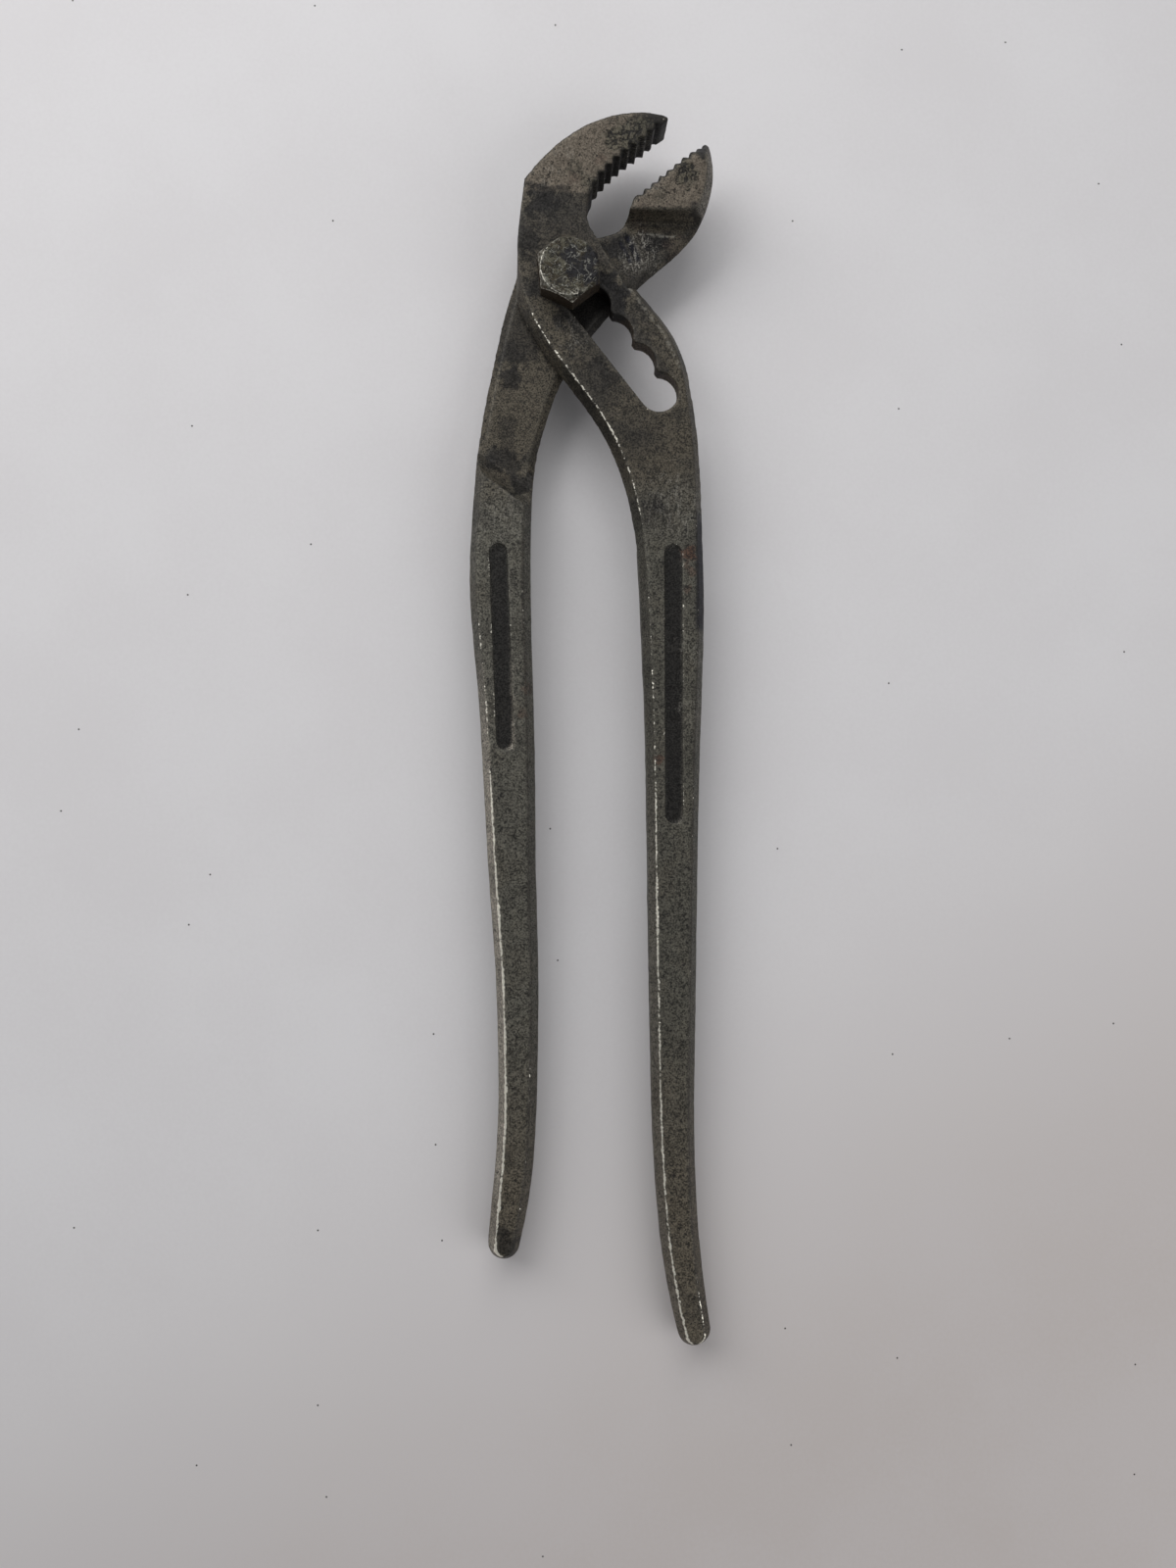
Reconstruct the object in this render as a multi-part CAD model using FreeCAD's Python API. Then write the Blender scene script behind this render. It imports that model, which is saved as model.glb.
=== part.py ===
import FreeCAD, Part
import math
import os

# Slip-joint water-pump pliers: two forged steel levers, half lapped at a hex-headed pivot bolt.
# The slotted lever carries the upper hooked jaw, the scalloped slot and the right handle. The plain lever
# carries the lower jaw and the left handle and turns on the bolt's shank. A nut closes the bolt at the back.
# Frame: origin on the pivot axis in the plane of the levers' backs, +Z out of the front, +Y to the jaws,
# +X to the slotted lever's handle. Millimetres and degrees.

# Levers
overall_length = 266.7          # crest of the upper jaw to the end of the slotted lever's handle
jaw_crest = 35.6                # pivot axis to the crest of the upper jaw
plain_reach = 211.6             # pivot axis to the end of the plain lever's handle
lever_thickness = 9.5
lap_gap = 0.04                  # between the two lapped faces
boss_radius = 11.3              # round head of the plain lever about the pivot
slotted_web_drop = 31.0         # last seat to the top of the slotted lever's handle
plain_web_drop = 50.0           # pivot axis to the top of the plain lever's handle
end_radius_slotted = 3.7        # round end of the slotted lever's handle
end_radius_plain = 3.5
end_lean_slotted = 10.0         # how far each handle's end turns outwards
end_lean_plain = -6.3

# Forged bevels along the levers' long edges
bevel_width = 1.6
bevel_height = 3.3
lap_bevel_height = 1.2          # the same bevel beside a lapped face, where the web is half as thick
tip_slope_start = 27.0          # where the lower jaw's front face starts to fall to its tip

# Half laps: a step at each jaw and each handle, hollow from its foot to its lip
boss_clearance = 1.7            # boss to the foot of the steps at the jaws
jaw_step_run = 1.7
slotted_step_drop = 33.5        # last seat to the foot of the step at the slotted lever's handle
slotted_step_run = 3.0
plain_step_drop = 37.2          # pivot axis to the foot of the plain lever's step, on the handle's middle line
plain_step_run = 7.0
plain_step_turn = -36.0
STEP_RISES = [(0.0, 0.0), (0.45, 0.16), (0.78, 0.5), (1.0, 1.0)]     # shares of the run and of the depth

# Slot with its seats, and the pivot in it
seat_count = 5
seat_pitch = 7.83
slot_direction = -51.5
shank_diameter = 8.3
shank_clearance = 0.05          # radial, in the plain lever's bore
seat_clearance = 0.1            # radial, tongue to slot
tongue_flat = 2.5               # bolt axis to the flat that passes the cusps
cusp_clearance = 0.12
wall_lower_left = 9.9           # slot to the web's edge
wall_upper_right = 7.0

# Bolt and nut
head_across_flats = 12.7        # the standard head of a 5/16 in bolt
head_height = 5.5
head_chamfer = 1.0
head_face_inset = 0.3           # the head's round top face inside its flats
head_turn = 36.0                # angle of one corner of the hex head
thread_diameter = 7.9
thread_runout = 0.6             # the thread starts this far inside the plain lever
nut_height = 4.8
nut_chamfer = 0.7
nut_turn = 12.0
thread_past_nut = 1.6
thread_end_chamfer = 0.8
turning_gap = 0.03              # head and nut to the faces that turn under them

# Teeth: grooves straight across the jaw faces
tooth_pitch_upper = 2.3
tooth_pitch_lower = 2.15
teeth_upper = 10
teeth_lower = 10
groove_depth = 1.05
groove_share = 0.42             # half width of a groove over the pitch

# Sunken panels on the handles
panel_width = 3.7
panel_depth = 0.55
plain_panel_length = 44.2
slotted_panel_length = 59.9
panel_top = 57.3                # pivot axis to the upper end of both panels

SLOT_AXIS = FreeCAD.Vector(math.cos(math.radians(slot_direction)), math.sin(math.radians(slot_direction)), 0)
SLOT_SIDE = FreeCAD.Vector(SLOT_AXIS.y, -SLOT_AXIS.x, 0)      # to the web's lower left
travel = (seat_count - 1) * seat_pitch
last_seat = SLOT_AXIS * travel
seat_radius = shank_diameter / 2 + seat_clearance
lap_height = (lever_thickness - lap_gap) / 2
jaw_step = boss_radius + boss_clearance         # pivot axis to the foot of the steps at the jaws
far = 400.0                     # past everything, for cutters


def at(x, y, z=0.0):
    return FreeCAD.Vector(x, y, z)


def curve(points, inset=0.0):
    """A smooth edge through the points, moved to its left side by the inset."""
    spline = Part.BSplineCurve()
    spline.interpolate(points)
    if inset:
        moved = []
        for point in points:
            along = spline.tangent(spline.parameter(point))[0]
            moved.append(point + at(-along.y, along.x) * inset)
        spline.interpolate(moved)
    return spline.toShape()


def ends(edge):
    return edge.valueAt(edge.FirstParameter), edge.valueAt(edge.LastParameter)


def outline_face(edges):
    return Part.Face(Part.Wire(edges))


def polygon_face(points):
    return Part.Face(Part.makePolygon(points + [points[0]]))


def beside_slot(share, wall):
    """A point on the web's edge: a share of the way along the travel, and a wall's width off the slot."""
    side = math.copysign(seat_radius, wall) + wall
    return SLOT_AXIS * (share * travel) + SLOT_SIDE * side


def handle_sides(stations, top, bottom, middle):
    """Left and right points of a handle, from (share of its length, middle line, width) stations."""
    left = []
    right = []
    for share, centre, width in stations:
        y = top + share * (bottom - top)
        left.append(at(middle + centre - width / 2, y))
        right.append(at(middle + centre + width / 2, y))
    return left, right


def round_end(centre_x, tip_y, radius, lean, inset):
    """Left point, inset tip and right point of a handle's round end, whose axis leans outwards."""
    axis = at(math.sin(math.radians(lean)), -math.cos(math.radians(lean)))
    side = at(axis.y, -axis.x) * radius
    centre = at(centre_x, tip_y + radius)
    return centre + side, centre + axis * (radius - inset), centre - side


def bevelled_prism(outline, bottom, bottom_bevel, top, top_bevel):
    """The outline between two heights, its long edges bevelled at both. The outline takes the inset."""
    levels = [(bottom, bevel_width), (bottom + bottom_bevel, 0.0), (top - top_bevel, 0.0),
              (top, bevel_width)]
    sections = []
    for height, inset in levels:
        section = Part.Wire(outline(inset))
        section.translate(at(0, 0, height))
        sections.append(section)
    return Part.makeLoft(sections, True, True)


def tooth_grooves(face_line, pitch, count):
    """V grooves between the crests of a jaw's teeth, square to the jaw's face line."""
    first = (face_line.Length - (count - 1) * pitch) / 2
    cutters = []
    for gap in range(count - 1):
        parameter = face_line.getParameterByLength(first + (gap + 0.5) * pitch)
        middle = face_line.valueAt(parameter)
        along = face_line.tangentAt(parameter)
        into = at(-along.y, along.x)
        half = along * pitch * groove_share
        lift = into * -1.0
        corners = [middle - half, middle - half + lift, middle + half + lift, middle + half]
        corners.append(middle + into * groove_depth)
        groove = polygon_face([c + at(0, 0, -1) for c in corners])
        cutters.append(groove.extrude(at(0, 0, lever_thickness + 2)))
    return cutters


def sunken_panel(top, length, lean):
    """A shallow stadium recess in the front face, hanging from its upper end."""
    axis = at(math.sin(math.radians(lean)), -math.cos(math.radians(lean)))
    side = at(-axis.y, axis.x) * (panel_width / 2)
    start = top + axis * (panel_width / 2)
    stop = top + axis * (length - panel_width / 2)
    edges = [
        Part.makeLine(start + side, stop + side),
        Part.Arc(stop + side, stop + axis * (panel_width / 2), stop - side).toShape(),
        Part.makeLine(stop - side, start - side),
        Part.Arc(start - side, start - axis * (panel_width / 2), start + side).toShape(),
    ]
    floor = outline_face(edges)
    floor.translate(at(0, 0, lever_thickness - panel_depth))
    return floor.extrude(at(0, 0, panel_depth + 1))


def lap_pocket(floor, mouth, floor_z, mouth_z):
    """The space that a half lap leaves, from its floor's corners to its mouth's, with hollow steps."""
    sections = []
    for run, rise in STEP_RISES:
        corners = [low + (high - low) * run for low, high in zip(floor, mouth)]
        height = floor_z + (mouth_z - floor_z) * rise
        sections.append(Part.makePolygon([at(c.x, c.y, height) for c in corners + corners[:1]]))
    return Part.makeLoft(sections, True, True)


def half_lapped(outline, pocket, floor, web):
    """The whole outline at full thickness but for its pocket, where it is as thick as the web."""
    lever = bevelled_prism(outline, 0.0, bevel_height, lever_thickness, bevel_height)
    under_pocket = polygon_face(floor).extrude(at(0, 0, 2 * lever_thickness))
    under_pocket.translate(at(0, 0, -lever_thickness / 2))
    return lever.cut(under_pocket).cut(pocket).fuse(web.common(under_pocket))


def slot_cutter():
    """Straight wall to the lower left, and one scallop a seat to the upper right."""
    lower = SLOT_SIDE * seat_radius
    upper = SLOT_SIDE * -(tongue_flat + cusp_clearance)
    corners = [lower, lower + last_seat, upper + last_seat, upper]
    shapes = [polygon_face(corners).extrude(at(0, 0, lever_thickness + 2))]
    for seat in range(seat_count):
        centre = SLOT_AXIS * (seat * seat_pitch)
        shapes.append(Part.makeCylinder(seat_radius, lever_thickness + 2, centre))
    cutter = shapes[0].multiFuse(shapes[1:]).removeSplitter()
    cutter.translate(at(0, 0, -1))
    return cutter


def upper_face_line():
    """Line along the crests of the upper jaw's teeth, from the throat to the tip."""
    return curve([at(5.0, 18.0), at(8.1, 22.6), at(13.6, 27.7), at(21.0, jaw_crest - 1.9)])


def slotted_outline(inset):
    """The slotted lever's edges in plan, counterclockwise from the tip of its jaw."""
    tip_y = jaw_crest - overall_length
    stations = [(0.0, 2.5, 14.8), (0.08, 3.2, 14.1), (0.22, 3.4, 12.4), (0.425, 3.3, 11.0),
                (0.62, 3.35, 9.9), (0.795, 3.95, 8.9), (0.92, 6.1, 8.2)]
    left, right = handle_sides(stations, last_seat.y - slotted_web_drop, tip_y, last_seat.x)
    end_left, tip, end_right = round_end(last_seat.x + 8.0, tip_y, end_radius_slotted, end_lean_slotted,
                                         inset)
    face_line = upper_face_line()
    throat_end, tooth_end = ends(face_line)
    jaw_tip = at(21.8, jaw_crest - 1.5)
    crest = [at(19.8, jaw_crest - 0.5), at(15.2, jaw_crest), at(7.6, jaw_crest - 1.4),
             at(0.3, jaw_crest - 5.0), at(-4.6, jaw_crest - 9.1), at(-9.4, jaw_crest - 14.8)]
    web_left = curve([
        at(-boss_radius, -3.8), beside_slot(0.49, wall_lower_left - 0.1),
        beside_slot(0.9, wall_lower_left + 0.3), last_seat + at(-7.5, -19.2)] + left + [end_left], inset)
    web_right = curve([end_right] + right[::-1] + [
        last_seat + at(9.1, -12.6), last_seat + at(7.5, 0.4), beside_slot(0.8, -wall_upper_right + 0.7),
        beside_slot(0.52, -wall_upper_right + 0.2), beside_slot(0.33, -wall_upper_right + 0.4)], inset)
    web_corner = at(12.7, -2.2)
    throat = [at(5.0, 10.4), at(4.2, 12.8), at(4.2, 15.6), throat_end]
    return [
        Part.Arc(jaw_tip, at(21.1, jaw_crest - 0.85), crest[0]).toShape(),
        curve(crest),
        curve([crest[-1], at(-10.4, 13.5), at(-11.0, 5.0), ends(web_left)[0]]),
        web_left,
        Part.Arc(ends(web_left)[1], tip, ends(web_right)[0]).toShape(),
        web_right,
        Part.makeLine(ends(web_right)[1], web_corner),
        Part.makeLine(web_corner, throat[0]),
        curve(throat),
        face_line,
        Part.makeLine(tooth_end, jaw_tip),
    ]


def make_slotted_lever():
    foot_y = last_seat.y - slotted_step_drop
    floor = [at(-far, jaw_step), at(far, jaw_step), at(far, foot_y), at(-far, foot_y)]
    lip_y = foot_y - slotted_step_run
    jaw_lip = jaw_step + jaw_step_run
    mouth = [at(-far, jaw_lip), at(far, jaw_lip), at(far, lip_y), at(-far, lip_y)]
    lap = lever_thickness - lap_height
    web = bevelled_prism(slotted_outline, lap, lap_bevel_height, lever_thickness, bevel_height)
    lever = half_lapped(slotted_outline, lap_pocket(floor, mouth, lap, 0.0), floor, web)
    lever = lever.cut(slot_cutter())
    lever = lever.cut(tooth_grooves(upper_face_line(), tooth_pitch_upper, teeth_upper))
    return lever.cut(sunken_panel(at(last_seat.x + 3.1, -panel_top), slotted_panel_length, 0.2))


def lower_face_line():
    """Line along the crests of the lower jaw's teeth, from the tip to the heel."""
    return curve([at(29.9, 31.3), at(25.1, 26.8), at(19.6, 22.3), at(14.0, 17.4)])


def plain_outline(inset):
    """The plain lever's edges in plan, counterclockwise from the throat side of its boss."""
    stations = [(0.0, -14.25, 12.9), (0.105, -14.65, 13.3), (0.22, -13.65, 12.3), (0.353, -12.7, 11.4),
                (0.495, -11.95, 10.3), (0.62, -11.0, 9.4), (0.73, -10.8, 8.75), (0.84, -11.2, 8.4),
                (0.922, -12.5, 8.1)]
    left, right = handle_sides(stations, -plain_web_drop, -plain_reach, 0.0)
    end_left, tip, end_right = round_end(-13.85, -plain_reach, end_radius_plain, end_lean_plain, inset)
    face_line = lower_face_line()
    tooth_end, heel = ends(face_line)
    boss_left, boss_top, boss_right = [
        at(boss_radius * math.cos(math.radians(angle)), boss_radius * math.sin(math.radians(angle)))
        for angle in (172, 117, 64)]
    outer = curve([boss_left, at(-12.6, -2.6), at(-14.3, -8.7), at(-16.6, -19.3), at(-18.4, -28.2),
                   at(-19.8, -39.0)] + left + [end_left], inset)
    inner = curve([end_right] + right[::-1] + [
        at(-7.0, -39.5), at(-4.1, -28.2), at(-1.8, -22.2), at(3.3, -13.6), at(8.8, -6.8), at(15.1, -0.6),
        at(21.6, 5.0), at(27.2, 10.6), at(30.3, 16.4), at(31.7, 22.8), at(30.6, 30.9)], inset)
    return [
        Part.Arc(boss_right, boss_top, ends(outer)[0]).toShape(),
        outer,
        Part.Arc(ends(outer)[1], tip, ends(inner)[0]).toShape(),
        inner,
        Part.makeLine(ends(inner)[1], tooth_end),
        face_line,
        curve([heel, at(13.4, 15.4), at(11.2, 12.1), at(8.2, 10.8), boss_right]),
    ]


def make_plain_lever():
    across = at(math.cos(math.radians(plain_step_turn)), math.sin(math.radians(plain_step_turn)))
    foot = at(-13.8, -plain_step_drop)
    lip = foot + at(across.y, -across.x) * plain_step_run
    reach = across * (lever_thickness * 5)
    floor = [at(-far, jaw_step), at(far, jaw_step), foot + reach, foot - reach]
    jaw_lip = jaw_step + jaw_step_run
    mouth = [at(-far, jaw_lip), at(far, jaw_lip), lip + reach, lip - reach]
    web = bevelled_prism(plain_outline, 0.0, bevel_height, lap_height, lap_bevel_height)
    lever = half_lapped(plain_outline, lap_pocket(floor, mouth, lap_height, lever_thickness), floor, web)
    bore = Part.makeCylinder(shank_diameter / 2 + shank_clearance, lever_thickness + 2, at(0, 0, -1))
    lever = lever.cut(bore)
    lever = lever.cut(tooth_grooves(lower_face_line(), tooth_pitch_lower, teeth_lower))
    slope = polygon_face([at(0, tip_slope_start, lever_thickness), at(0, far, lever_thickness),
                          at(0, far, lever_thickness - far + tip_slope_start)])
    lever = lever.cut(slope.extrude(at(far, 0, 0)))
    return lever.cut(sunken_panel(at(-15.1, -panel_top), plain_panel_length, 2.2))


def hex_prism(across_flats, height, turn):
    corner = across_flats / math.sqrt(3)
    points = []
    for side in range(6):
        angle = math.radians(turn + 60 * side)
        points.append(at(corner * math.cos(angle), corner * math.sin(angle)))
    return polygon_face(points).extrude(at(0, 0, height))


def turned(profile):
    """A solid of revolution about the pivot axis, from (radius, height) corners."""
    face = polygon_face([at(radius, 0, height) for radius, height in profile])
    return face.revolve(at(0, 0, 0), at(0, 0, 1), 360)


def make_pivot_bolt():
    under_head = lever_thickness + turning_gap
    top = under_head + head_height
    corner = head_across_flats / math.sqrt(3)
    cone = turned([(0, under_head), (corner, under_head), (corner, top - head_chamfer),
                   (head_across_flats / 2 - head_face_inset, top), (0, top)])
    head = hex_prism(head_across_flats, head_height, head_turn)
    head.translate(at(0, 0, under_head))
    head = head.common(cone)

    radius = shank_diameter / 2
    shank = Part.makeCylinder(radius, under_head - thread_runout, at(0, 0, thread_runout))
    beyond_flat = Part.makeBox(2 * radius, radius, under_head, at(-radius, tongue_flat, lap_height))
    beyond_flat.rotate(at(0, 0, 0), at(0, 0, 1), slot_direction)
    thread_end = -turning_gap - nut_height - thread_past_nut
    thread_radius = thread_diameter / 2
    thread = turned([(0, thread_end), (thread_radius - thread_end_chamfer, thread_end),
                     (thread_radius, thread_end + thread_end_chamfer), (thread_radius, thread_runout),
                     (0, thread_runout)])
    return head.fuse([shank.cut(beyond_flat), thread])


def make_pivot_nut():
    top = -turning_gap
    bottom = top - nut_height
    corner = head_across_flats / math.sqrt(3)
    flat = head_across_flats / 2
    cone = turned([(0, bottom), (flat, bottom), (corner, bottom + nut_chamfer), (corner, top), (0, top)])
    nut = hex_prism(head_across_flats, nut_height, nut_turn)
    nut.translate(at(0, 0, bottom))
    return nut.common(cone).cut(Part.makeCylinder(thread_diameter / 2, nut_height + 2, at(0, 0, bottom - 1)))


os.makedirs("parts", exist_ok=True)
make_slotted_lever().exportStep("parts/slotted_lever.step")
make_plain_lever().exportStep("parts/plain_lever.step")
make_pivot_bolt().exportStep("parts/pivot_bolt.step")
make_pivot_nut().exportStep("parts/pivot_nut.step")
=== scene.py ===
import math
import bpy
import numpy as np
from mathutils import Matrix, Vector


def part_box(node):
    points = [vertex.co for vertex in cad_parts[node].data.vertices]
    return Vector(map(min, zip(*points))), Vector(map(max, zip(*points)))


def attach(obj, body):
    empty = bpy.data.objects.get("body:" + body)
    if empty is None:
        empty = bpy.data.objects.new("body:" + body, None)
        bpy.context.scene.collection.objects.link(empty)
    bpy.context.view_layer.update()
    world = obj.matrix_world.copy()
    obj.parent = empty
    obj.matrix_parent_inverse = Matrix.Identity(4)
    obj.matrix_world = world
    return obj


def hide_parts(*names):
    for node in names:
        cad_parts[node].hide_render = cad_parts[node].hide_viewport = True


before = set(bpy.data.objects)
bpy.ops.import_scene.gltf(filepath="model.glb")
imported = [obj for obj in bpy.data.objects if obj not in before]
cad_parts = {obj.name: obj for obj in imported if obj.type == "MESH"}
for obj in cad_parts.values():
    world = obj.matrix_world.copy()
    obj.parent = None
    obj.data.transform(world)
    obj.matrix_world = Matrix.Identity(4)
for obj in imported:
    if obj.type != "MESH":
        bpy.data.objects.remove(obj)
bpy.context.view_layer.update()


# --- Slotted lever -----------------------------------------------------------------------------------
# The upper hooked jaw, the thin web with its scalloped slot and the right handle, drop forged in one
# piece from carbon steel. The flash is trimmed off, the jaw's sides are ground, the teeth are milled,
# and the rest keeps its brown and black forging skin. Hands have rubbed the ridges bare; painted
# highlight lightens the left ridges and slopes, and painted shade darkens the right ridge.

MM = 0.001
LEVER_CELL = 0.4 * MM           # width of one face of a lever's skin
EDGE_ROUNDS = 2                 # passes that dull the sharp edges
TOOTH_ROUNDS = 10               # and more of them on the teeth
SINK_LEVELS = 10                # steps between a point that stays and one that sinks fully
WAVE_SIZE, WAVE_DEPTH = 7.0 * MM, 0.11 * MM         # the die's slow unevenness
SCALE_SIZE, SCALE_DEPTH = 1.5 * MM, 0.06 * MM       # marks of the scale knocked off
NICK_SIZE, NICK_DEPTH = 2.2 * MM, 0.15 * MM         # dents along the edges
WEAR_ROUNDS = 4                 # how far round a point its bulge is judged
WEAR_BULGE = 0.07 * MM          # bulge of a handle's ridge
FRONT = 9.5 * MM                # height of both levers' fronts
WEB_BACK = 4.77 * MM            # the lapped face of the slotted lever's web
LAP_NEAR = 0.1 * MM             # a point this near to a lapped face is on it
JAW_GRIND = 17.7                # mm; the upper jaw's sides are ground above this height
TEETH_FACE = (0.66, -0.75, 0.0)                     # the way the upper jaw's teeth face
SLOT_LENGTH = 31.3 * MM         # length of the slot's middle line, from the pivot on
SLOT_ANGLE = math.radians(-51.5)
PANELS_TOP = -54                # mm; both panels begin below this
PANEL_FLOOR = 8.95              # mm; height of their floors
PANEL_HALF_WIDTH = 2.1          # mm


def copy_of_node(node, name):
    """A piece with the node's own shape: its mesh, copied and merged into one skin."""
    piece = bpy.data.objects.new(name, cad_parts[node].data.copy())
    bpy.context.scene.collection.objects.link(piece)
    bpy.ops.object.select_all(action="DESELECT")
    piece.select_set(True)
    bpy.context.view_layer.objects.active = piece
    bpy.ops.object.mode_set(mode="EDIT")
    bpy.ops.mesh.select_all(action="SELECT")
    bpy.ops.mesh.remove_doubles(threshold=0.001 * MM)
    bpy.ops.object.mode_set(mode="OBJECT")
    piece.data.materials.clear()
    return piece


def modify(piece, kind, **settings):
    """Adds a modifier with its settings and applies it."""
    modifier = piece.modifiers.new(kind.lower(), kind)
    for setting, value in settings.items():
        setattr(modifier, setting, value)
    bpy.context.view_layer.objects.active = piece
    bpy.ops.object.modifier_apply(modifier=modifier.name)


def cover_evenly(piece, cell, edge_rounds):
    """Even faces over the whole skin, then the sharp edges dulled as forging, grinding and use leave them."""
    size = max(piece.dimensions)
    depth = math.ceil(math.log2(size / cell))
    modify(piece, "REMESH", mode="SHARP", octree_depth=depth, scale=size / cell / 2 ** depth,
           use_remove_disconnected=False)
    modify(piece, "SMOOTH", factor=0.5, iterations=edge_rounds)
    bpy.ops.object.select_all(action="DESELECT")
    piece.select_set(True)
    bpy.ops.object.shade_smooth()


def points_and_normals(piece):
    """Where each point is, and which way the skin faces there."""
    points = np.empty((len(piece.data.vertices), 3), np.float32)
    normals = np.empty_like(points)
    piece.data.vertices.foreach_get("co", points.ravel())
    piece.data.vertices.foreach_get("normal", normals.ravel())
    return points, normals


def spread(piece, values, rounds):
    """The values, one row a point, averaged with their neighbours' for some rounds."""
    edges = np.empty((len(piece.data.edges), 2), np.int32)
    piece.data.edges.foreach_get("vertices", edges.ravel())
    ends = np.concatenate([edges[:, 0], edges[:, 1]])
    others = np.concatenate([edges[:, 1], edges[:, 0]])
    count = np.bincount(ends, minlength=len(values))
    values = np.array(values, float).reshape(len(values), -1)
    for _ in range(rounds):
        for column in values.T:
            column[:] = (column + np.bincount(ends, column[others], len(column)) / count) / 2
    return values


def bulge(piece, rounds):
    """How far each point stands out of the skin around it; below 0 in a corner."""
    points, normals = points_and_normals(piece)
    return np.einsum("ij,ij->i", points - spread(piece, points, rounds), normals)


def sink(piece, weights, size, depth, name):
    """Sinks the skin by up to the depth, in hollows of about the size, as far as each point's weight says."""
    group = piece.vertex_groups.new(name=name)
    for level in range(1, SINK_LEVELS + 1):
        chosen = np.flatnonzero(np.round(weights * SINK_LEVELS) == level)
        group.add(chosen.tolist(), level / SINK_LEVELS, "REPLACE")
    texture = bpy.data.textures.new(name, "CLOUDS")
    texture.noise_scale = size
    texture.noise_depth = 2
    texture.contrast = 1.6
    modify(piece, "DISPLACE", texture=texture, texture_coords="LOCAL", mid_level=1.0, strength=depth,
           vertex_group=name)


def gouge(piece, start, end, width, depth):
    """A groove between two points of the front, pressed into whatever faces up there."""
    points, normals = points_and_normals(piece)
    points[:, 2] -= streak(points, start, end, width) * (normals[:, 2] > 0.5) * depth
    piece.data.vertices.foreach_set("co", points.ravel())
    piece.data.update()


def soft_step(value, low, high):
    """0 up to the low value and 1 from the high one on; falling when low is the greater."""
    share = np.clip((value - low) / (high - low), 0, 1)
    return share * share * (3 - 2 * share)


def paint(piece, name, values, rounds=0):
    """Stores one number a point, which the piece's finish reads."""
    layer = piece.data.attributes.new(name, "FLOAT", "POINT")
    layer.data.foreach_set("value", spread(piece, values, rounds).ravel().astype(np.float32))


def paint_wear(piece, rounds, full):
    """Marks the edges that stand out and the corners that lie deep."""
    out = bulge(piece, rounds)
    paint(piece, "worn", np.clip(spread(piece, np.clip(out / full, 0, 1), 1) * 1.25, 0, 1))
    paint(piece, "hollow", np.clip(-out / full, 0, 1))


def streak(points, start, end, width, core=0.3):
    """1 on a line between two points of the front and over its core, fading out at the width."""
    start, end = np.array(start), np.array(end)
    run = end - start
    along = np.clip((points[:, :2] / MM - start) @ run / (run @ run), 0, 1)
    away = np.linalg.norm(points[:, :2] / MM - start - along[:, None] * run, axis=1)
    return soft_step(away, width, core * width)


def right_ridge(points, normals):
    """1 on the handles' right ridge, where the flat turns into the bevel: a line of painted shade."""
    turning = soft_step(normals[:, 0], 0.06, 0.20) * soft_step(normals[:, 0], 0.90, 0.65)
    return turning * (normals[:, 2] > 0.3) * soft_step(-points[:, 1] / MM, 45, 60)


def toothed(points):
    """True in the gap side of the jaws, where the teeth are."""
    x, y = (points / MM).T[:2]
    across = x * TEETH_FACE[0] + y * TEETH_FACE[1]
    return (y > 15.5) & (x > 3.0) & (np.abs(across + 5.0) < 6.5)


def lever_piece(node, name, lapped, ground):
    """A lever's even skin, forged and dented everywhere but on its lapped face."""
    piece = copy_of_node(node, name)
    cover_evenly(piece, LEVER_CELL, EDGE_ROUNDS)
    group = piece.vertex_groups.new(name="toothed")
    group.add(np.flatnonzero(toothed(points_and_normals(piece)[0])).tolist(), 1.0, "REPLACE")
    modify(piece, "SMOOTH", factor=0.5, iterations=TOOTH_ROUNDS, vertex_group="toothed")
    points, normals = points_and_normals(piece)
    free = 1 - lapped(points, normals)
    free = np.clip(spread(piece, free, 4).ravel() * 2 - 1, 0, 1)
    forged = free * (1 - 0.75 * ground(points, normals))
    sink(piece, forged, WAVE_SIZE, WAVE_DEPTH, name + "_waves")
    sink(piece, free, SCALE_SIZE, SCALE_DEPTH, name + "_scale")
    edges = np.clip(bulge(piece, WEAR_ROUNDS) / WEAR_BULGE / 2, 0, 1)
    sink(piece, edges * free, NICK_SIZE, NICK_DEPTH, name + "_nicks")
    return piece


def ground_above(points, normals, low, high):
    """1 on the flat sides of a jaw, fading at the lower border of its grinding."""
    flat = soft_step(np.abs(normals[:, 2]), 0.90, 0.99)
    return flat * soft_step(points[:, 1] / MM, low, high)


def in_front(points):
    """1 on a lever's front half, 0 on its back half."""
    return soft_step(points[:, 2] / MM, 5.5, 7.0)


def panel_floor(points, top, bottom):
    """1 on the floor of a sunken panel, whose middle line runs between two points."""
    level = soft_step(np.abs(points[:, 2] / MM - PANEL_FLOOR), 0.35, 0.1)
    return level * streak(points, top, bottom, PANEL_HALF_WIDTH, 0.85)


def round_panel(points, middle, reach, bottom):
    """True in a panel and close round it."""
    x, y = (points / MM).T[:2]
    return (np.abs(x - middle) < reach) & (y < PANELS_TOP) & (y > bottom)


def bare_and_highlight_share(wear_and_highlight, in_panel):
    """What is added to an edge's own bareness and painted highlight. Edges round a panel have a fixed share,
    not the one from wear and highlight.
    """
    return wear_and_highlight * ~in_panel + 0.08 * in_panel - 0.28


def slot_place(points):
    """Distance of each point from the slot's middle line."""
    axis = np.array([math.cos(SLOT_ANGLE), math.sin(SLOT_ANGLE)])
    along = np.clip(points[:, :2] @ axis, 0, SLOT_LENGTH)
    return np.linalg.norm(points[:, :2] - along[:, None] * axis, axis=1)


def slotted_ground(points, normals):
    """1 on the upper jaw's ground sides."""
    return ground_above(points, normals, JAW_GRIND - 1.6, JAW_GRIND + 1.6)


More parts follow.
